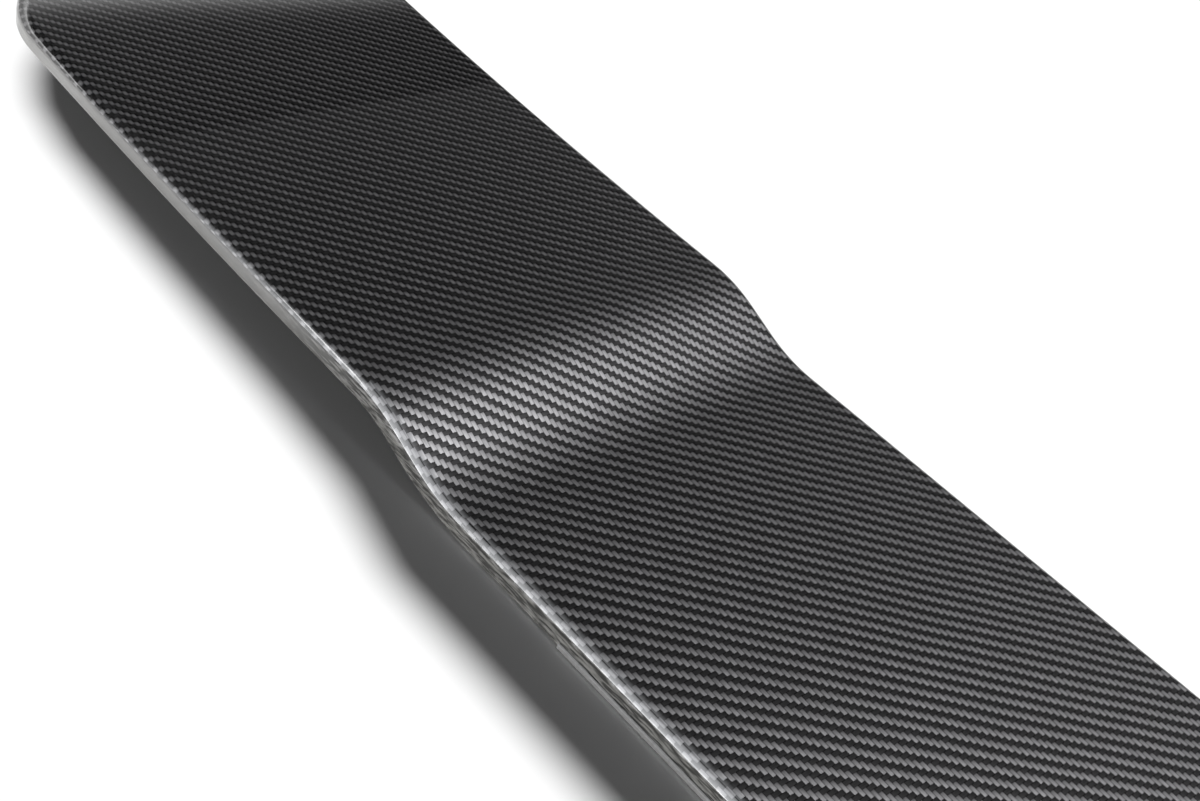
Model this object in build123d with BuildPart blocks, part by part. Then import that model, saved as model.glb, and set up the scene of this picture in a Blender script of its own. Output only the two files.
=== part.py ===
from build123d import *
from math import asin, cos, degrees, radians, sin, sqrt, tan
import os

# Car rear spoiler: one moulded laminate panel with a turned-down rim, open underneath.
# X runs across the car, -Y is the rear, Z is up; the seating feet stand on Z = 0.

# Sizes in millimetres and degrees
span = 1200.0            # tip to tip
chord = 207.1            # front rim to rear rim across the centre section
centre_half = 207.5      # centreline to the foot of the S-bend
step = 14.8              # how far the tips stand above the centre section
ramp_angle = 19.5        # slope of the S-bend's straight part
bend_radius = 80.0       # both bends of the S, on the top face
wall = 2.0               # laminate thickness
rim_depth = 9.4          # top face to the trimmed lower edge
rim_radius = 5.0         # outside radius where the top rolls into the rim
run_out = 0.75           # part of the ramp's lower edge taken up by its soft lower bend
front_sweep = 3030.0     # plan radius of the front rim along each tip
rear_sweep = 5320.0      # plan radius of the rear rim along each tip
corner_radius = 70.0     # plan radius of the four corners
foot_half = 150.0        # centreline to the end of the seating feet
foot_height = 2.2        # seating feet, floor to top
foot_proud = 0.8         # seating feet beyond the outside of the rim
foot_drop = 0.8          # seating feet below the trimmed lower edge
foot_round = 0.5         # outer edges of the seating feet

# Stations and heights of the S-bend
slope = radians(ramp_angle)
half = span / 2
low_top = rim_depth + foot_drop
high_top = low_top + step
ramp_length = (step - 2 * bend_radius * (1 - cos(slope))) / sin(slope)
bend_top = centre_half + 2 * bend_radius * sin(slope) + ramp_length * cos(slope)

# Plan: the front rim flares towards each corner, and the widest points sit evenly about Y = 0
sweep_run = half - corner_radius - bend_top
flare = front_sweep + corner_radius - sqrt((front_sweep + corner_radius) ** 2 - sweep_run ** 2)
rear = (foot_proud - chord - flare) / 2
front = rear + chord
front_turn = degrees(asin((half - bend_top) / front_sweep))
rear_turn = degrees(asin((half - bend_top) / rear_sweep))

# Lower edge of the rim: concentric with the crest, then a soft bend onto the centre section
low_edge = low_top - rim_depth
crest_drop = (bend_radius - rim_depth) * (1 - cos(slope))
shin_length = (step - crest_drop) / sin(slope)
soft_tangent = run_out * shin_length
soft_radius = soft_tangent / tan(slope / 2)

# Extents that clear the whole panel, for the slabs that are cut to shape
beyond = half + corner_radius
breadth = chord + flare + corner_radius
height = high_top + bend_radius


def rim_edges(part):
    """Edges where the upward faces meet the upright sides."""
    tops = part.faces().filter_by(lambda face: face.normal_at().Z > sin(slope))
    sides = part.faces().filter_by(lambda face: abs(face.normal_at().Z) < sin(slope))
    return tops.edges() & sides.edges()


# Plan outline, shared by the outside and the hollow
with BuildSketch() as outline:
    with BuildLine():
        Line((0, front), (bend_top, front))
        front_rim = JernArc((bend_top, front), (1, 0), front_sweep, front_turn)
        Line((0, rear), (bend_top, rear))
        rear_rim = JernArc((bend_top, rear), (1, 0), rear_sweep, rear_turn)
        Line(front_rim @ 1, rear_rim @ 1)
        mirror(about=Plane.YZ)
    make_face()
    ends = outline.vertices().group_by(Axis.X)
    fillet(ends[0] + ends[-1], corner_radius)

# Hollow under the skin, open below
with BuildPart() as hollow:
    with BuildSketch(Plane.XZ):
        with BuildLine():
            Line((0, low_top - wall), (centre_half, low_top - wall))
            valley = JernArc((centre_half, low_top - wall), (1, 0), bend_radius + wall, ramp_angle)
            ramp = PolarLine(valley @ 1, ramp_length, ramp_angle)
            crest = JernArc(ramp @ 1, ramp % 1, bend_radius - wall, -ramp_angle)
            Polyline(crest @ 1, (beyond, high_top - wall), (beyond, -height), (0, -height))
            mirror(about=Plane.YZ)
        make_face()
    extrude(amount=breadth, both=True)
    with BuildSketch():
        add(outline.sketch)
        offset(amount=-wall, mode=Mode.REPLACE)
    extrude(amount=height, both=True, mode=Mode.INTERSECT)
    fillet(rim_edges(hollow), rim_radius - wall)

# Seating foot along the rear rim of the centre section
with BuildPart() as foot:
    with BuildSketch(Plane.YZ) as pad:
        with Locations((rear - foot_proud, 0)):
            Rectangle(foot_proud + wall, foot_height, align=(Align.MIN, Align.MIN))
        fillet(pad.vertices().group_by(Axis.X)[0], foot_round)
    extrude(amount=foot_half, both=True)

# The panel: a bent slab cut to the outline, its rim rolled over, hollowed from below
with BuildPart() as spoiler_panel:
    with BuildSketch(Plane.XZ):
        with BuildLine():
            Line((0, low_top), (centre_half, low_top))
            valley = JernArc((centre_half, low_top), (1, 0), bend_radius, ramp_angle)
            ramp = PolarLine(valley @ 1, ramp_length, ramp_angle)
            crest = JernArc(ramp @ 1, ramp % 1, bend_radius, -ramp_angle)
            tip = Line(crest @ 1, (beyond, high_top))
            end = Line(tip @ 1, (beyond, high_top - rim_depth))
            sole = Line(end @ 1, (bend_top, high_top - rim_depth))
            brow = JernArc(sole @ 1, sole % 1, bend_radius - rim_depth, ramp_angle)
            shin = PolarLine(brow @ 1, shin_length - soft_tangent, 180 + ramp_angle)
            ankle = JernArc(shin @ 1, shin % 1, soft_radius, -ramp_angle)
            Line(ankle @ 1, (0, low_edge))
            mirror(about=Plane.YZ)
        make_face()
    extrude(amount=breadth, both=True)
    with BuildSketch():
        add(outline.sketch)
    extrude(amount=height, both=True, mode=Mode.INTERSECT)
    fillet(rim_edges(spoiler_panel), rim_radius)
    add(hollow.part, mode=Mode.SUBTRACT)
    add(foot.part)
    mirror(foot.part, about=Plane.XZ.offset(-(front + rear) / 2))
spoiler_panel.part.label = "spoiler_panel"

os.makedirs("parts", exist_ok=True)
export_step(spoiler_panel.part, "parts/spoiler_panel.step")
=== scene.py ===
from math import asin, cos, pi, radians, sin, sqrt, tan

import bpy
from mathutils import Euler, Matrix, Vector


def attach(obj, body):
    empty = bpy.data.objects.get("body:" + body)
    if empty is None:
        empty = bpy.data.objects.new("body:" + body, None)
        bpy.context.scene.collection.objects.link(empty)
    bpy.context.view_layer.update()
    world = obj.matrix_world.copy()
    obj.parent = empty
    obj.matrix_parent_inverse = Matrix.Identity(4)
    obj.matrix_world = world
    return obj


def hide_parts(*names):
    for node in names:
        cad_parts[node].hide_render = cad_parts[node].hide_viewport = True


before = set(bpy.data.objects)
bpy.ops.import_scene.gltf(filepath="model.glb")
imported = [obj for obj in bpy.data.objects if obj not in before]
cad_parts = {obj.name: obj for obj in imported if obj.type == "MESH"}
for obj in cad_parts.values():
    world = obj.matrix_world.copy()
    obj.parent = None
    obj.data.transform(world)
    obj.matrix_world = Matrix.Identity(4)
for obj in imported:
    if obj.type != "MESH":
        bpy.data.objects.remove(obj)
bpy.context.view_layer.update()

# Car rear spoiler: the CAD panel dressed as a shell of lacquered carbon cloth, on a pale studio floor.
# The panel is worked out in millimetres and written in metres; the stage is in metres where nothing is said.
MM = 0.001

# The panel's sizes, as in its CAD source
SPAN = 1200.0            # tip to tip
CHORD = 207.1            # front rim to rear rim across the centre section
CENTRE_HALF = 207.5      # centreline to the foot of the S-bend
STEP = 14.8              # how far the tips stand above the centre section
SLOPE = radians(19.5)    # slope of the S-bend's straight part
BEND = 80.0              # radius of both bends of the S, on the top face
WALL = 2.0               # laminate thickness
RIM_DEPTH = 9.4          # top face to the trimmed lower edge
ROLL = 5.0               # outside radius where the top rolls into the rim
RUN_OUT = 0.75           # part of the ramp's lower edge taken up by its soft lower bend
FRONT_SWEEP = 3030.0     # plan radius of the front rim along each tip
REAR_SWEEP = 5320.0      # plan radius of the rear rim along each tip
CORNER = 70.0            # plan radius of the four corners
FOOT_HALF = 150.0        # centreline to the end of the seating feet
FOOT_HEIGHT = 2.2        # seating feet, floor to top
FOOT_PROUD = 0.8         # seating feet beyond the outside of the rim
FOOT_DROP = 0.8          # seating feet below the trimmed lower edge
FOOT_ROUND = 0.5         # outer edges of the seating feet
EDGE_ROUND = 0.35        # outer corner of the trimmed lower edge, eased in this scene only

# Stations and heights of the top face
HALF = SPAN / 2
LOW = RIM_DEPTH + FOOT_DROP
HIGH = LOW + STEP
RAMP = (STEP - 2 * BEND * (1 - cos(SLOPE))) / sin(SLOPE)
VALLEY_X = CENTRE_HALF + BEND * sin(SLOPE)
VALLEY_Z = LOW + BEND * (1 - cos(SLOPE))
CREST_X = VALLEY_X + RAMP * cos(SLOPE)
BEND_TOP = CENTRE_HALF + 2 * BEND * sin(SLOPE) + RAMP * cos(SLOPE)

# Plan: the front rim flares towards each corner
RUN = HALF - CORNER - BEND_TOP
FLARE = FRONT_SWEEP + CORNER - sqrt((FRONT_SWEEP + CORNER) ** 2 - RUN ** 2)
REAR = (FOOT_PROUD - CHORD - FLARE) / 2
FRONT = REAR + CHORD

# Lower edge of the rim: round the crest, down the shin, and out on a softer bend
LOW_EDGE = LOW - RIM_DEPTH
HIGH_EDGE = HIGH - RIM_DEPTH
BROW = BEND - RIM_DEPTH
BROW_X = BEND_TOP - BROW * sin(SLOPE)
BROW_Z = HIGH_EDGE - BROW * (1 - cos(SLOPE))
SHIN = (STEP - BROW * (1 - cos(SLOPE))) / sin(SLOPE)
SOFT = RUN_OUT * SHIN
ANKLE = SOFT / tan(SLOPE / 2)
SHIN_X = BROW_X - (SHIN - SOFT) * cos(SLOPE)
ANKLE_X = SHIN_X - ANKLE * sin(SLOPE)

# Steps of the mesh along half a rim
FOOT_STEPS = 12
FLAT_STEPS = 8
BEND_STEPS = 18
RAMP_STEPS = 6
SWEEP_STEPS = 26
CORNER_STEPS = 28

# Steps of the mesh round the rim's section: the outer roll, the part of it that shows the cloth, the inner
# roll and the small edges, and shares of the height of the outer face and the inner wall
ROLL_STEPS = 16
ROLL_TOP_STEPS = 12
INNER_STEPS = 6
EDGE_STEPS = 3
FACE_SHARES = (0.06, 0.35, 0.65, 0.94, 1.0)
INSIDE_SHARES = (0.5, 0.94)

# Shares of the chord for the skin's rows, closer together beside the roll
MIDDLE_STEPS = 14
MIDDLE_SHARES = [0.05 + 0.9 * k / MIDDLE_STEPS for k in range(MIDDLE_STEPS + 1)]
SKIN_SHARES = [0, 0.0012, 0.012] + MIDDLE_SHARES + [0.988, 0.9988, 1]

# Edges that bend more than this are shaded sharp
SHARP = radians(40)

# Material slots of the shell
GLOSS, ROLLED, BAG, CUT, RIM, LIP = 0, 1, 2, 3, 4, 5

# Points that agree to this many decimals of a millimetre are one point
MERGE_DECIMALS = 4

# The cloth
TOW = 2.0                # width of a tow
TILE = 32.0              # tows in one unit of the map, a whole number of the twill's repeats
U_PHASE = -0.3           # shift of the weave along the span, in tows
V_PHASE = 0.85           # shift of the weave across it, in tows
UNDER_SHIFT = 20.0       # units of the map between the top's cloth and the underside's
MAP = "OFBake"           # the map's layer


def top_at(x):
    """Arc length from the centreline, height and tilt of the top face at x."""
    a = abs(x)
    side = -1 if x < 0 else 1
    if a <= CENTRE_HALF:
        s, z, t = a, LOW, 0.0
    elif a <= VALLEY_X:
        t = asin((a - CENTRE_HALF) / BEND)
        s, z = CENTRE_HALF + BEND * t, LOW + BEND * (1 - cos(t))
    elif a <= CREST_X:
        s = CENTRE_HALF + BEND * SLOPE + (a - VALLEY_X) / cos(SLOPE)
        z, t = VALLEY_Z + (a - VALLEY_X) * tan(SLOPE), SLOPE
    elif a < BEND_TOP:
        t = asin((BEND_TOP - a) / BEND)
        s = CENTRE_HALF + BEND * SLOPE + RAMP + BEND * (SLOPE - t)
        z = HIGH - BEND * (1 - cos(t))
    else:
        s, z, t = CENTRE_HALF + 2 * BEND * SLOPE + RAMP + a - BEND_TOP, HIGH, 0.0
    return side * s, z, side * t


def edge_at(x):
    """Height of the rim's trimmed lower edge at x."""
    a = abs(x)
    if a >= BEND_TOP:
        return HIGH_EDGE
    if a >= BROW_X:
        return HIGH_EDGE - BROW + sqrt(BROW ** 2 - (BEND_TOP - a) ** 2)
    if a >= SHIN_X:
        return BROW_Z - (BROW_X - a) * tan(SLOPE)
    if a >= ANKLE_X:
        return LOW_EDGE + ANKLE - sqrt(ANKLE ** 2 - (a - ANKLE_X) ** 2)
    return LOW_EDGE


def spread(start, end, count):
    """Evenly spaced values from start on, without the end."""
    return [start + (end - start) * k / count for k in range(count)]


def quarter(steps):
    """Angles of a quarter turn, with both ends."""
    return [pi / 2 * k / steps for k in range(steps + 1)]


def flat_stations():
    """x along the straight rim, and whether the foot is there: its end comes twice, with it and without."""
    footed = spread(0, FOOT_HALF, FOOT_STEPS) + [FOOT_HALF]
    plain = spread(FOOT_HALF, CENTRE_HALF, FLAT_STEPS)
    plain += [CENTRE_HALF + BEND * sin(SLOPE * k / BEND_STEPS) for k in range(BEND_STEPS)]
    plain += spread(VALLEY_X, CREST_X, RAMP_STEPS)
    plain += [BEND_TOP - BEND * sin(SLOPE * (1 - k / BEND_STEPS)) for k in range(BEND_STEPS)]
    return [(x, True) for x in footed] + [(x, False) for x in plain]


def half_side(y, sweep, rear):
    """Stations of one rim from the centreline to the end: plan point, outward normal, foot or not."""
    out = 1 if rear else -1
    middle = Vector((BEND_TOP, y + sweep))
    reach = sweep - out * CORNER
    hub = Vector((HALF - CORNER, middle.y - sqrt(reach ** 2 - RUN ** 2)))
    touch = middle + (hub - middle) * (sweep / reach)
    stations = [(Vector((x, y)), Vector((0, -out)), foot) for x, foot in flat_stations()]
    for x in spread(BEND_TOP, touch.x, SWEEP_STEPS):
        plan = Vector((x, middle.y - sqrt(sweep ** 2 - (x - BEND_TOP) ** 2)))
        stations.append((plan, (plan - middle).normalized() * out, False))
    start = (touch - hub).angle_signed(Vector((1, 0)))
    for k in range(CORNER_STEPS + 1):
        turn = start * (1 - k / CORNER_STEPS)
        normal = Vector((cos(turn), sin(turn)))
        stations.append((hub + normal * CORNER, normal, False))
    return stations


def both_halves(stations):
    """A whole rim from left to right, the left half mirrored."""
    mirrored = [(Vector((-p.x, p.y)), Vector((-n.x, n.y)), foot) for p, n, foot in stations[1:]]
    return mirrored[::-1] + stations


def tow_map(point, under=False):
    """Map coordinates of a point of the flattened cloth, given as arc length and y."""
    u = (point[0] / TOW + U_PHASE) / TILE
    v = (point[1] / TOW + V_PHASE) / TILE
    return (u, v + UNDER_SHIFT) if under else (u, v)


class Shell:
    """Vertices, faces, map coordinates and material slots of the panel."""

    def __init__(self):
        self.points, self.faces, self.maps, self.slots = [], [], [], []
        self.index = {}

    def point(self, place):
        key = tuple(round(c, MERGE_DECIMALS) for c in place)
        if key not in self.index:
            self.index[key] = len(self.points)
            self.points.append(tuple(place))
        return self.index[key]

    def face(self, corners, slot):
        """corners: (place, map coordinates) in order round the face."""
        ids, uvs = [], []
        for place, uv in corners:
            i = self.point(place)
            if i not in ids:
                ids.append(i)
                uvs.append(uv)
        if len(ids) > 2:
            self.faces.append(ids)
            self.maps.append(uvs)
            self.slots.append(slot)


class RimSection:
    """Cross-section of the rim at one station, from the top's tangent line round to the underside's.
    Its rows are (place, map coordinates, slot of the strip that follows)."""

    def __init__(self, plan, normal, foot):
        inset = plan - normal * ROLL
        s, z, tilt = top_at(inset.x)
        self.foot = foot
        self.normal = normal
        self.out = Vector((normal.x, normal.y, 0))
        self.up = Vector((-sin(tilt), 0, cos(tilt)))
        self.hub = Vector((inset.x, inset.y, z)) - self.up * ROLL
        self.flat = Vector((s, inset.y))
        self.skirt = self.hub + self.out * ROLL
        self.low = edge_at(self.skirt.x)
        ending = self.seated() if foot else self.trimmed()
        self.rows = self.rolled() + self.face() + ending + self.inside()

    def on_roll(self, radius, turn, slot, under=False):
        """A row round the roll's axis, turned outward from the top's own direction."""
        place = self.hub + (self.up * cos(turn) + self.out * sin(turn)) * radius
        return place, tow_map(self.flat + self.normal * radius * turn, under), slot

    def on_wall(self, level, inward=0.0, slot=RIM, extra=0.0):
        """A row below the roll, so far inside the rim's face; extra is cloth beyond the height's own."""
        place = Vector((self.skirt.x, self.skirt.y, level)) - self.out * inward
        cloth = ROLL * pi / 2 + self.skirt.z - level + extra
        return place, tow_map(self.flat + self.normal * cloth), slot

    def rolled(self):
        """The outer roll, from the top face to the upright one."""
        turns = enumerate(quarter(ROLL_STEPS))
        return [self.on_roll(ROLL, a, ROLLED if k < ROLL_TOP_STEPS else RIM) for k, a in turns]

    def face(self):
        """The upright face, down to the foot's ledge or the trimmed edge."""
        drop = (FOOT_HEIGHT if self.foot else self.low + EDGE_ROUND) - self.skirt.z
        rows = [self.on_wall(self.skirt.z + drop * share) for share in FACE_SHARES]
        if self.foot:
            rows[-1] = (*rows[-1][:2], LIP)
        return rows

    def seated(self):
        """The foot's ledge and outer face, with both its edges rounded."""
        rows = []
        for a in quarter(EDGE_STEPS):
            level, inward = FOOT_HEIGHT - FOOT_ROUND * (1 - cos(a)), FOOT_ROUND * (1 - sin(a))
            rows.append(self.on_wall(level, inward - FOOT_PROUD, LIP, FOOT_PROUD))
        for a in quarter(EDGE_STEPS):
            level, inward = FOOT_ROUND * (1 - sin(a)), FOOT_ROUND * (1 - cos(a))
            rows.append(self.on_wall(level, inward - FOOT_PROUD, LIP, FOOT_PROUD))
        rows[-1] = (*rows[-1][:2], CUT)
        return rows

    def trimmed(self):
        """The eased corner of the lower edge where there is no foot."""
        rows = []
        for a in quarter(EDGE_STEPS)[1:]:
            level = self.low + EDGE_ROUND * (1 - sin(a))
            rows.append(self.on_wall(level, EDGE_ROUND * (1 - cos(a))))
        rows[-1] = (*rows[-1][:2], CUT)
        return rows

    def inside(self):
        """The cut edge's inner line, the inner wall and the inner roll."""
        bottom = 0.0 if self.foot else self.low
        inner = ROLL - WALL
        rows = [self.on_wall(bottom, WALL, BAG, WALL)]
        for share in INSIDE_SHARES:
            level = bottom + (self.skirt.z - bottom) * share
            place = Vector((self.skirt.x, self.skirt.y, level)) - self.out * WALL
            cloth = inner * pi / 2 + self.skirt.z - level
            rows.append((place, tow_map(self.flat + self.normal * cloth, True), BAG))
        return rows + [self.on_roll(inner, a, BAG, True) for a in quarter(INNER_STEPS)[::-1]]


def inset(station):
    """Plan point where the top face ends and the roll starts."""
    plan, normal, _ = station
    return plan - normal * ROLL


def skin_corner(plan, under):
    """Place and map coordinates on the top face, or on the underside below it."""
    s, z, tilt = top_at(plan.x)
    place = Vector((plan.x, plan.y, z))
    if under:
        place -= Vector((-sin(tilt), 0, cos(tilt))) * WALL
    return place, tow_map((s, plan.y), under)


def add_skins(shell, grid):
    """The top face and the underside, over plan points in columns from rear to front."""
    for here, after in zip(grid, grid[1:]):
        for k in range(len(here) - 1):
            ring = (here[k], after[k], after[k + 1], here[k + 1])
            shell.face([skin_corner(p, False) for p in ring], GLOSS)
            shell.face([skin_corner(p, True) for p in ring[::-1]], BAG)


def rim_loop(grid, fronts, rears):
    """Stations of the whole rim, anticlockwise seen from above: rear, right end, front, left end."""
    right = [(Vector((HALF, p.y)), Vector((1, 0)), False) for p in grid[-1][1:-1]]
    left = [(Vector((-HALF, p.y)), Vector((-1, 0)), False) for p in grid[0][-2:0:-1]]
    return rears + right + fronts[::-1] + left


def cap_foot(shell, here, after):
    """Flat end of a seating foot, between the sections with and without it at the same station."""
    footed, plain = (here, after) if here.foot else (after, here)
    # Each side runs from the last row of the upright face to the inner line of the cut edge
    start = ROLL_STEPS + len(FACE_SHARES)
    foot_rows = 2 * (EDGE_STEPS + 1)
    trim_rows = EDGE_STEPS
    outline = [row[:2] for row in footed.rows[start:start + foot_rows + 2]]
    back = [row[:2] for row in plain.rows[start:start + trim_rows + 2]]
    ring = outline + back[::-1]
    shell.face(ring if here.foot else ring[::-1], LIP)


def add_rim(shell, loop):
    """The rim's strips between neighbouring sections, and the ends of the feet."""
    sections = [RimSection(*station) for station in loop]
    for here, after in zip(sections, sections[1:] + sections[:1]):
        if here.foot != after.foot:
            cap_foot(shell, here, after)
            continue
        a, b = here.rows, after.rows
        for k in range(len(a) - 1):
            shell.face([row[:2] for row in (b[k], a[k], a[k + 1], b[k + 1])], a[k][2])


def build_shell():
    fronts = both_halves(half_side(FRONT, FRONT_SWEEP, False))
    rears = both_halves(half_side(REAR, REAR_SWEEP, True))
    grid = [[inset(r).lerp(inset(f), t) for t in SKIN_SHARES] for r, f in zip(rears, fronts)]
    shell = Shell()
    add_skins(shell, grid)
    add_rim(shell, rim_loop(grid, fronts, rears))
    return shell


def to_object(shell, name):
    mesh = bpy.data.meshes.new(name)
    mesh.from_pydata([tuple(c * MM for c in p) for p in shell.points], [], shell.faces)
    layer = mesh.uv_layers.new(name=MAP)
    for corner, uv in zip(layer.data, [uv for uvs in shell.maps for uv in uvs]):
        corner.uv = uv
    mesh.polygons.foreach_set("material_index", shell.slots)
    mesh.shade_smooth()
    mesh.set_sharp_from_angle(angle=SHARP)
    mesh.validate()
    obj = bpy.data.objects.new(name, mesh)
    bpy.context.scene.collection.objects.link(obj)
    return obj


class Nodes:
    """Short ways to add shader nodes to a material, a lamp or the world."""

    def __init__(self, owner):
        owner.use_nodes = True
        self.tree = owner.node_tree
        self.tree.nodes.clear()

    def add(self, kind, **settings):
        node = self.tree.nodes.new("ShaderNode" + kind)
        for name, value in settings.items():
            setattr(node, name, value)
        return node

    def put(self, socket, value):
        """Link another node's output to an input, or set its value."""
        if isinstance(value, bpy.types.NodeSocket):
            self.tree.links.new(value, socket)
        else:
            socket.default_value = value

    def feed(self, node, inputs):
        """Fill a node's inputs, by name or number, and give its outputs."""
        for name, value in inputs.items():
            self.put(node.inputs[name], value)
        return node.outputs

    def math(self, operation, *values, clamp=False):
        node = self.add("Math", operation=operation, use_clamp=clamp)
        return self.feed(node, dict(enumerate(values)))[0]

    def plus(self, a, b):
        return self.math("ADD", a, b)

    def minus(self, a, b):
        return self.math("SUBTRACT", a, b)

    def times(self, a, b):
        return self.math("MULTIPLY", a, b)

    def absolute(self, a):
        return self.math("ABSOLUTE", a)

    def line(self, value, slope, start, clamp=False):
        return self.math("MULTIPLY_ADD", value, slope, start, clamp=clamp)

    def ramp(self, value, zero, one):
        """0 where the value is at zero, 1 where it is at one, straight between them and level beyond."""
        slope = 1 / (one - zero)
        return self.line(value, slope, -zero * slope, clamp=True)

    def mix(self, share, a, b):
        """Number from a to b."""
        node = self.add("Mix", data_type="FLOAT")
        return self.feed(node, {0: share, 2: a, 3: b})[0]

    def blend(self, share, a, b):
        """Colour from a to b."""
        node = self.add("Mix", data_type="RGBA")
        return self.feed(node, {0: share, 6: (*a, 1.0), 7: (*b, 1.0)})[2]

    def vector(self, x, y, z=0.0):
        return self.feed(self.add("CombineXYZ"), {0: x, 1: y, 2: z})[0]

    def split(self, vector):
        return list(self.feed(self.add("SeparateXYZ"), {0: vector}))

    def place(self):
        """x, y and z of the shaded point."""
        return self.split(self.add("NewGeometry").outputs["Position"])

    def noise(self, vector, scale, detail=2.0, dimensions="2D"):
        node = self.add("TexNoise", noise_dimensions=dimensions)
        return self.feed(node, {"Vector": vector, "Scale": scale, "Detail": detail})[0]

    def random(self, vector):
        return self.feed(self.add("TexWhiteNoise", noise_dimensions="2D"), {"Vector": vector})[0]

    def glow(self, strength, output="OutputLight"):
        light = self.feed(self.add("Emission"), {"Strength": strength})[0]
        self.put(self.add(output).inputs["Surface"], light)

    def surface(self, inputs):
        shader = self.feed(self.add("BsdfPrincipled"), inputs)[0]
        self.put(self.add("OutputMaterial").inputs["Surface"], shader)


# The tows' roundness and dark gaps, on the centre section, over the S-bend and along the tips. They lie
# flattest where the bend pulls them. The dark gaps are painted shade at the tows' sides and the floats' ends,
# weakest over the bend and strongest along the tips, where the cloth is also painted lighter. The first two
# pairs below are the arc lengths from the centreline over which the bend's values and then the tips' values
# come in.
BEND_ZONE = (190.0, 220.0)
TIP_ZONE = (270.0, 310.0)
ALONG_TILT = (0.10, 0.06, 0.14)
# Painted shade at the tows' sides and the floats' ends for each zone, then painted light brightening the
# tips' cloth
SIDE_PAINTED_SHADE = (0.8, 0.55, 0.95)
END_PAINTED_SHADE = (0.4, 0.25, 0.95)
TIP_PAINTED_LIGHT = 1.3
ACROSS_TILT = 0.03
EDGE_TILT = 0.04
SIDE_POWER = 6.0

# How far the tows wander, in their own widths, and how fibres and floats vary in shade
WANDER, WANDER_SCALE = 0.5, 0.05
FIBRE_LENGTH, FIBRE_WIDTH = 0.25, 5.0
FIBRE_SHADE = 0.7
FLOAT_SHADE = 0.16


class Twill:
    """The 2x2 twill in shader nodes, measured in tow widths. p and q run from -1 to 1 along and across
    the float that shows at a point, and along_x says which of the two sets of tows it belongs to."""

    def __init__(self, n):
        self.n = n
        u, v = [n.times(c, TILE) for c in n.split(n.add("UVMap", uv_map=MAP).outputs[0])[:2]]
        self.u = n.plus(u, self.wander(u, v))
        self.v = n.plus(v, self.wander(v, u))
        self.i = n.math("FLOOR", self.u)
        self.j = n.math("FLOOR", self.v)
        # Step in the repeat of four tows: the first two show the tow along x, the others the one across
        self.k = n.math("FLOORED_MODULO", n.minus(self.i, self.j), 4.0)
        self.along_x = n.math("LESS_THAN", self.k, 1.5)
        in_u, in_v = n.minus(self.u, self.i), n.minus(self.v, self.j)
        float_x = n.times(n.plus(self.k, in_u), 0.5)
        float_y = n.times(n.plus(n.minus(3.0, self.k), in_v), 0.5)
        self.p = n.line(n.mix(self.along_x, float_y, float_x), 2.0, -1.0)
        self.q = n.line(n.mix(self.along_x, in_u, in_v), 2.0, -1.0)
        reach = n.times(n.absolute(u), TOW)
        self.on_bend = n.ramp(reach, *BEND_ZONE)
        self.on_tip = n.ramp(reach, *TIP_ZONE)

    def wander(self, a, b):
        """Slow drift of the tows off their straight lines."""
        n = self.n
        return n.line(n.noise(n.vector(a, b), WANDER_SCALE, 1.0), WANDER, -WANDER / 2)

    def zoned(self, values):
        """A value for the centre section, the S-bend and the tips."""
        centre, bend, tip = values
        return self.n.mix(self.on_tip, self.n.mix(self.on_bend, centre, bend), tip)

    def normal(self):
        """Tangent-space normal of the rounded tows under the lacquer."""
        n = self.n
        along = n.times(self.p, self.zoned(ALONG_TILT))
        cubed = n.times(self.q, n.times(self.q, self.q))
        across = n.line(cubed, EDGE_TILT, n.times(self.q, ACROSS_TILT))
        lean_u = n.line(n.mix(self.along_x, across, along), 0.5, 0.5)
        lean_v = n.line(n.mix(self.along_x, along, across), 0.5, 0.5)
        bend = n.add("NormalMap", space="TANGENT", uv_map=MAP)
        return n.feed(bend, {"Color": n.vector(lean_u, lean_v, 1.0)})[0]

    def fibres(self):
        """Fine fibres along each tow, and a shade of its own for each float."""
        n = self.n
        fine_x = n.noise(n.vector(n.times(self.u, FIBRE_LENGTH), n.times(self.v, FIBRE_WIDTH)), 1.0)
        fine_y = n.noise(n.vector(n.times(self.u, FIBRE_WIDTH), n.times(self.v, FIBRE_LENGTH)), 1.0)
        fine = n.line(n.mix(self.along_x, fine_y, fine_x), FIBRE_SHADE, 1 - FIBRE_SHADE / 2)
        start = n.math("FLOOR", n.mix(self.along_x, self.i, n.minus(self.i, self.k)))
        own = n.line(n.random(n.vector(start, self.j)), FLOAT_SHADE, 1 - FLOAT_SHADE / 2)
        return n.times(fine, own)

    def painted_gap_shade(self):
        """Painted shade at the edges of the tows and the ends of the floats, and painted light on the tips'
        cloth.
        """
        n = self.n
        side = n.times(n.math("POWER", n.absolute(self.q), SIDE_POWER), self.zoned(SIDE_PAINTED_SHADE))
        p2 = n.times(self.p, self.p)
        centre, bend, tip = END_PAINTED_SHADE
        end = n.times(p2, n.mix(self.on_tip, n.times(p2, n.mix(self.on_bend, centre, bend)), tip))
        lit = n.times(n.minus(1.0, side), n.minus(1.0, end))
        return n.times(lit, n.mix(self.on_tip, 1.0, TIP_PAINTED_LIGHT))

    def colour(self, light, dark):
        """light for the tows along the span, dark for those across it: one cloth, with a painted sheen on the
        tows along the span and painted shade on those across it.
        """
        n = self.n
        shade = n.add("VectorMath", operation="SCALE")
        tint = n.blend(self.along_x, dark, light)
        return n.feed(shade, {0: tint, "Scale": n.times(self.fibres(), self.painted_gap_shade())})[0]


# Coats of lacquer, as weight, roughness and IOR. Where it is rolled over the edge the lacquer looks
# brighter in the photograph, so its IOR is higher there than lacquer's own.
LACQUER_IOR = 1.5
EDGE_IOR = 2.4
LACQUER = (1.0, 0.02, LACQUER_IOR)
EDGE_LACQUER = (1.0, 0.02, EDGE_IOR)
BAG_RESIN = (0.3, 0.3, LACQUER_IOR)
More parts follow.
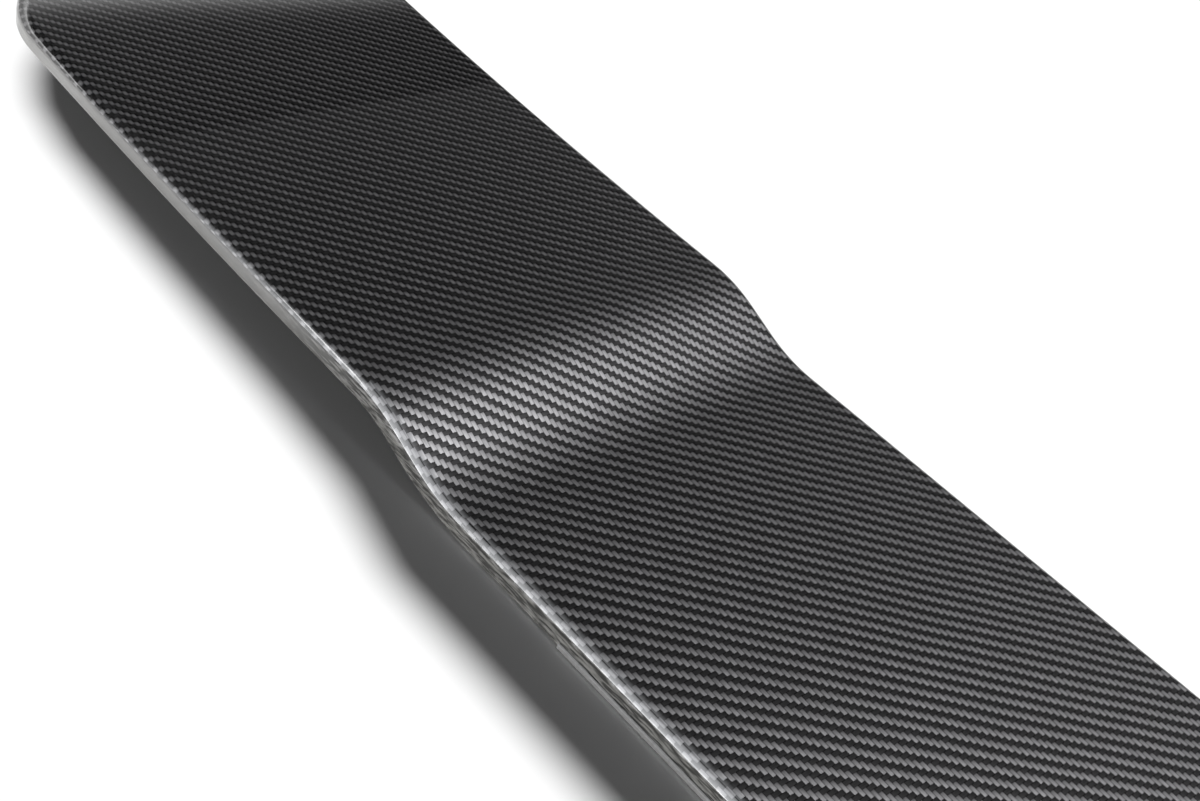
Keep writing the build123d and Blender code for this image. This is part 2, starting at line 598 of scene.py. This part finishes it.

# Grain of the bare resin, and the rim's streaks, a painted reflection: their size, their contrast, where
# along x the rim turns evenly glossy, and the coat and the colours between and on the streaks
GRAIN_SCALE = 900.0
STREAK_SCALE = (160.0, 160.0, 1200.0)
STREAK_EDGES = (0.42, 0.62)
EVEN_GLOSS = (0.25, 0.3333)
DULL_COAT = 0.25
RIM_DARK = (0.008, 0.0078, 0.0074)
RIM_LIGHT = (0.045, 0.043, 0.040)
RIM_ROUGHNESS, RIM_COAT_ROUGHNESS = 0.5, 0.03
RIPPLE_DEPTH, RIPPLE_STRENGTH = 0.0004, 0.5


def carbon(name, light, dark, roughness, coat):
    """Carbon cloth under a coat of lacquer."""
    mat = bpy.data.materials.new(name)
    n = Nodes(mat)
    cloth = Twill(n)
    n.surface({
        "Base Color": cloth.colour(light, dark),
        "Metallic": 1.0,
        "Roughness": roughness,
        "Normal": cloth.normal(),
        "Coat Weight": coat[0],
        "Coat Roughness": coat[1],
        "Coat IOR": coat[2],
    })
    return mat


def resin(name, light, dark, roughness):
    """Bare resin or cut laminate with a fine grain."""
    mat = bpy.data.materials.new(name)
    n = Nodes(mat)
    grain = n.noise(n.add("TexCoord").outputs["Object"], GRAIN_SCALE, dimensions="3D")
    n.surface({"Base Color": n.blend(grain, dark, light), "Roughness": roughness})
    return mat


def rim_with_painted_streaks(name):
    """Rim face, resin over bent cloth, with streaks of painted reflection in its colour and in its coat's
    weight: the coat is streaked along the centre section and evenly glossy beyond it.
    """
    mat = bpy.data.materials.new(name)
    n = Nodes(mat)
    coord = n.add("TexCoord").outputs["Object"]
    drawn_out = n.feed(n.add("Mapping"), {"Scale": STREAK_SCALE, "Vector": coord})[0]
    grain = n.noise(drawn_out, 1.0, 3.0, "3D")
    streak = n.ramp(grain, *STREAK_EDGES)
    even = n.ramp(n.absolute(n.split(coord)[0]), *EVEN_GLOSS)
    ripple = {"Strength": RIPPLE_STRENGTH, "Distance": RIPPLE_DEPTH, "Height": grain}
    n.surface({
        "Base Color": n.blend(streak, RIM_DARK, RIM_LIGHT),
        "Metallic": 1.0,
        "Roughness": RIM_ROUGHNESS,
        "Coat Weight": n.math("MAXIMUM", n.mix(streak, DULL_COAT, 1.0), even),
        "Coat Roughness": RIM_COAT_ROUGHNESS,
        "Coat IOR": EDGE_IOR,
        "Coat Normal": n.feed(n.add("Bump"), ripple)[0],
    })
    return mat


# In the order of the shell's slots
MATERIALS = (
    # Light tows along the span and dark tows across it are one cloth, painted lit and painted shaded
    carbon("carbon_gloss", light=(0.160, 0.155, 0.159), dark=(0.0203, 0.0197, 0.0202), roughness=0.48,
           coat=LACQUER),
    # A lighter copy of the top's cloth: a painted highlight on the roll
    carbon("carbon_rolled", light=(0.184, 0.180, 0.184), dark=(0.0236, 0.0230, 0.0235), roughness=0.48,
           coat=EDGE_LACQUER),
    carbon("carbon_bag_side", light=(0.10, 0.10, 0.10), dark=(0.03, 0.03, 0.03), roughness=0.6,
           coat=BAG_RESIN),
    resin("carbon_cut_edge", light=(0.05, 0.05, 0.05), dark=(0.012, 0.012, 0.012), roughness=0.55),
    rim_with_painted_streaks("carbon_rim"),
    # The lip's light grey is partly resin flash and partly a painted highlight along the foot's rounded edge
    resin("resin_lip_painted_highlight", light=(0.19, 0.189, 0.186), dark=(0.08, 0.079, 0.078), roughness=0.4),
)
shell = to_object(build_shell(), "spoiler_shell")
for material in MATERIALS:
    shell.data.materials.append(material)
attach(shell, "root")
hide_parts("spoiler_panel")


def sheet(name, corners):
    """A flat piece of the stage."""
    mesh = bpy.data.meshes.new(name)
    mesh.from_pydata(corners, [], [tuple(range(len(corners)))])
    obj = bpy.data.objects.new(name, mesh)
    bpy.context.scene.collection.objects.link(obj)
    return obj


def square(half, z):
    return [(-half, -half, z), (half, -half, z), (half, half, z), (-half, half, z)]


def sheet_nodes(obj):
    """Nodes of a new material for a sheet."""
    mat = bpy.data.materials.new(obj.name)
    obj.data.materials.append(mat)
    return Nodes(mat)


def collection(name, obj):
    group = bpy.data.collections.new(name)
    group.objects.link(obj)
    return group


# Pale floor
FLOOR_HALF = 4.0
FLOOR_TONE = 0.93
floor = sheet("floor", square(FLOOR_HALF, 0.0))
n = sheet_nodes(floor)
matt = n.feed(n.add("BsdfDiffuse"), {"Color": (FLOOR_TONE, FLOOR_TONE, FLOOR_TONE, 1.0)})[0]
n.put(n.add("OutputMaterial").inputs["Surface"], matt)

# Flag over the part, which alone casts the floor's soft shadow. Its outline in millimetres is the part's,
# drawn in round the tips and let out along the rear of the centre section.
FLAG_HEIGHT = 0.03
FLAG_HALF = [
    (0, 108), (300, 108), (510, 108), (565, 90), (588, 50), (588, 0), (582, -30), (572, -56),
    (556, -76), (538, -90), (515, -101), (480, -108), (420, -112), (300, -118), (250, -122), (205, -133),
]
FLAG = FLAG_HALF + [(-x, y) for x, y in FLAG_HALF[:0:-1]]
flag = sheet("shadow_flag", [(x * MM, y * MM, FLAG_HEIGHT) for x, y in FLAG])
flag.visible_camera = False
flag.visible_glossy = False
flag.visible_diffuse = False
flag.visible_transmission = False

# The part's lamps leave the floor alone, and the floor's lamps the part
on_part = collection("lit_part", shell)
on_floor = collection("lit_floor", floor)
over_floor = collection("shade_floor", flag)

# Ceiling that only the lacquer mirrors: dark above the part and paler towards the horizon
CEILING_HEIGHT = 4.3
CEILING_HALF = 100.0
CEILING_REACH = 40.0
CEILING_DARK, CEILING_RISE, CEILING_PALE = 0.008, 1.2, 0.35
ceiling = sheet("ceiling", square(CEILING_HALF, CEILING_HEIGHT))
ceiling.visible_camera = False
ceiling.visible_shadow = False
ceiling.visible_diffuse = False
ceiling.light_linking.receiver_collection = on_part
n = sheet_nodes(ceiling)
place = n.add("NewGeometry").outputs["Position"]
away = n.feed(n.add("VectorMath", operation="LENGTH"), {0: place})["Value"]
away = n.math("DIVIDE", away, CEILING_REACH)
rising = n.line(n.times(away, away), CEILING_RISE, CEILING_DARK)
n.glow(n.math("MINIMUM", rising, CEILING_PALE), "OutputMaterial")

# Card beyond the far tip, mirrored in its rolled end: brightest on a line that climbs with y, fading fast
# above the line and slowly below it
CARD_X = -0.75
CARD_NEAR, CARD_FAR = -0.3, 0.6
CARD_FOOT, CARD_TOP = 0.002, 0.25
LINE_HEIGHT, LINE_CLIMB = 0.135, 0.095
HALVED_OVER = 0.0038
DIMMED_BELOW = -15.0
CARD_LEVEL, CARD_ACROSS = 1.25, -2.6
CARD_LEAST = 0.3
card = sheet("end_card", [(CARD_X, CARD_NEAR, CARD_FOOT), (CARD_X, CARD_FAR, CARD_FOOT),
                          (CARD_X, CARD_FAR, CARD_TOP), (CARD_X, CARD_NEAR, CARD_TOP)])
card.visible_camera = False
card.visible_shadow = False
card.light_linking.receiver_collection = on_part
n = sheet_nodes(card)
_, y, z = n.place()
line = n.line(y, LINE_CLIMB, LINE_HEIGHT)
above = n.math("MAXIMUM", n.minus(z, line), 0.0)
below = n.math("MAXIMUM", n.minus(line, z), 0.0)
fade = n.math("POWER", 0.5, n.math("DIVIDE", above, HALVED_OVER))
fade = n.times(fade, n.math("MAXIMUM", n.line(below, DIMMED_BELOW, 1.0), CARD_LEAST))
n.glow(n.times(fade, n.math("MAXIMUM", n.line(y, CARD_ACROSS, CARD_LEVEL), CARD_LEAST)), "OutputMaterial")

# An area lamp of this many watts a square metre has a radiance of 1
AREA_POWER = 4.0

# Colours of the lamps
WHITE = (1.0, 1.0, 1.0)
COOL = (0.95, 0.97, 1.0)
DAYLIGHT = (0.96, 0.98, 1.0)
KEY_TINT = (0.96, 0.98, 0.985)
WARM = (1.0, 0.995, 0.955)

# Shares of a strip lamp's length and width over which it fades out at each edge
STRIP_FADE = (1 / 4, 1 / 3)


def lamp(name, kind, place, target, receiver, blocker, **settings):
    """A lamp that lights only the receiver and is shaded only by the blocker."""
    data = bpy.data.lights.new(name, kind)
    for key, value in settings.items():
        setattr(data, key, value)
    obj = bpy.data.objects.new(name, data)
    bpy.context.scene.collection.objects.link(obj)
    obj.visible_camera = False
    obj.location = place
    obj.rotation_euler = (Vector(target) - Vector(place)).to_track_quat("-Z", "Y").to_euler()
    obj.light_linking.receiver_collection = receiver
    obj.light_linking.blocker_collection = blocker
    return obj


def area(name, place, target, size, colour, radiance=1.0):
    """A rectangular soft lamp on the part."""
    power = radiance * AREA_POWER * size[0] * size[1]
    return lamp(name, "AREA", place, target, on_part, on_part, shape="RECTANGLE",
                size=size[0], size_y=size[1], energy=power, color=colour)


def soft_tube(name, place, target, size, strength):
    """A strip lamp that fades out at its edges."""
    obj = area(name, place, target, size, WHITE)
    n = Nodes(obj.data)
    level = strength
    for share, margin in zip(n.split(n.add("NewGeometry").outputs["Parametric"]), STRIP_FADE):
        from_edge = n.math("MINIMUM", share, n.minus(1.0, share))
        level = n.times(n.ramp(from_edge, 0.0, margin), level)
    n.glow(level)
    return obj


# The floor shows the sun's share and the fill's share of white, and the fill's alone in the shadow
SUN_SHARE, FILL_SHARE = 0.98, 0.04
SUN_RISE = radians(75)
SUN_WIDTH = radians(40)
lamp("floor_sun", "SUN", (0, cos(SUN_RISE), sin(SUN_RISE)), (0, 0, 0), on_floor, over_floor,
     energy=SUN_SHARE * pi / FLOOR_TONE / sin(SUN_RISE), angle=SUN_WIDTH)
lamp("floor_fill", "SUN", (0, 0, 1), (0, 0, 0), on_floor, None,
     energy=FILL_SHARE * pi / FLOOR_TONE, use_shadow=False)

# Keys: the one that the ramp's cloth catches, and one that lights the cloth for a look from the other side
area("key", place=(0.84, 1.68, 3.72), target=(-0.2, 0, 0), size=(0.5, 0.5), colour=KEY_TINT, radiance=194.0)
area("back_key", place=(1.78, -1.25, 3.36), target=(0, 0, 0), size=(0.8, 0.8), colour=DAYLIGHT, radiance=75.0)

# Softbox on the rear rim's side, mirrored in its roll: it dims upwards and fades out at its sides and top.
# Each fade is the place where the lamp is out and the place where it is full.
SOFTBOX_LEVEL, SOFTBOX_CLIMB = 1.95, -0.46
SOFTBOX_SIDE_FADES = ((-3.933, -0.6), (-2.597, -0.984), (0.6667, 0.1111))
SOFTBOX_TOP_FADE = (2.9, 2.5)
softbox = area("softbox", place=(-1.1, -1.7, 1.45), target=(-1.1, 0, 1.45), size=(4.6, 2.9), colour=COOL)
n = Nodes(softbox.data)
x, _, z = n.place()
side = 1.0
for fade in SOFTBOX_SIDE_FADES:
    side = n.math("MINIMUM", n.ramp(x, *fade), side)
side = n.times(side, n.ramp(z, *SOFTBOX_TOP_FADE))
n.glow(n.times(n.line(z, SOFTBOX_CLIMB, SOFTBOX_LEVEL), side))

# Light that the table throws up at the rim, stronger along the centre section
TABLE_CENTRE, TABLE_TIP = 0.65, 0.33
TABLE_CHANGE = (0.24, 0.3067)
table = area("table_glow", place=(0, -0.14, 0.0003), target=(0, -0.14, 1), size=(1.24, 0.07), colour=WARM)
n = Nodes(table.data)
x, _, _ = n.place()
n.glow(n.mix(n.ramp(n.absolute(x), *TABLE_CHANGE), TABLE_CENTRE, TABLE_TIP))

# Softbox overhead, brighter towards the rear
OVERHEAD_LEVEL, OVERHEAD_SLOPE = 0.24, -0.24
overhead = area("overhead", place=(-0.4, -0.25, 3.2), target=(-0.4, -0.25, 0), size=(3.0, 2.5), colour=COOL)
n = Nodes(overhead.data)
_, y, _ = n.place()
n.glow(n.line(y, OVERHEAD_SLOPE, OVERHEAD_LEVEL, clamp=True))

# Strip lamps for the bright lines along the roll
SLANT = radians(-47)
soft_tube("tube", place=(-0.3, -1.5, 0.07), target=(-0.3, 0, 0.07), size=(1.3, 0.14), strength=2.5)
slant_tube = soft_tube("slant_tube", place=(-1.4, -1.5, 0.78), target=(-1.4, 0, 0.78), size=(1.3, 0.24),
                       strength=2.4)
slant_tube.rotation_euler.rotate_axis("Z", SLANT)

# World: white to the eye and in reflections, and nearly dark as a light
WORLD_LIGHT, WORLD_SEEN = 0.03, 1.0
world = bpy.data.worlds.new("studio")
bpy.context.scene.world = world
n = Nodes(world)
ray = n.add("LightPath").outputs
seen = n.math("MAXIMUM", ray["Is Camera Ray"], ray["Is Glossy Ray"])
seen = n.math("MAXIMUM", seen, ray["Is Transmission Ray"])
level = n.mix(seen, WORLD_LIGHT, WORLD_SEEN)
back = n.feed(n.add("Background"), {"Color": (*WHITE, 1.0), "Strength": level})[0]
n.put(n.add("OutputWorld").inputs["Surface"], back)

# Camera at the photograph's viewing angle
SENSOR_WIDTH = 36.0                              # millimetres, as Blender has it
PHOTO_WIDTH = 1200.0                             # pixels
FOCAL_LENGTH = 1554.378                          # pixels
CAMERA_PLACE = (52.488, -430.966, 381.822)       # millimetres
CAMERA_TURN = (52.14129, -16.30729, 46.80713)    # degrees about X, Y and Z
cam_data = bpy.data.cameras.new("camera")
cam_data.sensor_width = SENSOR_WIDTH
cam_data.lens = FOCAL_LENGTH * SENSOR_WIDTH / PHOTO_WIDTH
cam = bpy.data.objects.new("camera", cam_data)
bpy.context.scene.collection.objects.link(cam)
turn = Euler([radians(a) for a in CAMERA_TURN])
cam.matrix_world = Matrix.LocRotScale(Vector(CAMERA_PLACE) * MM, turn, None)
bpy.context.scene.camera = cam

bpy.context.scene.view_settings.view_transform = "Standard"
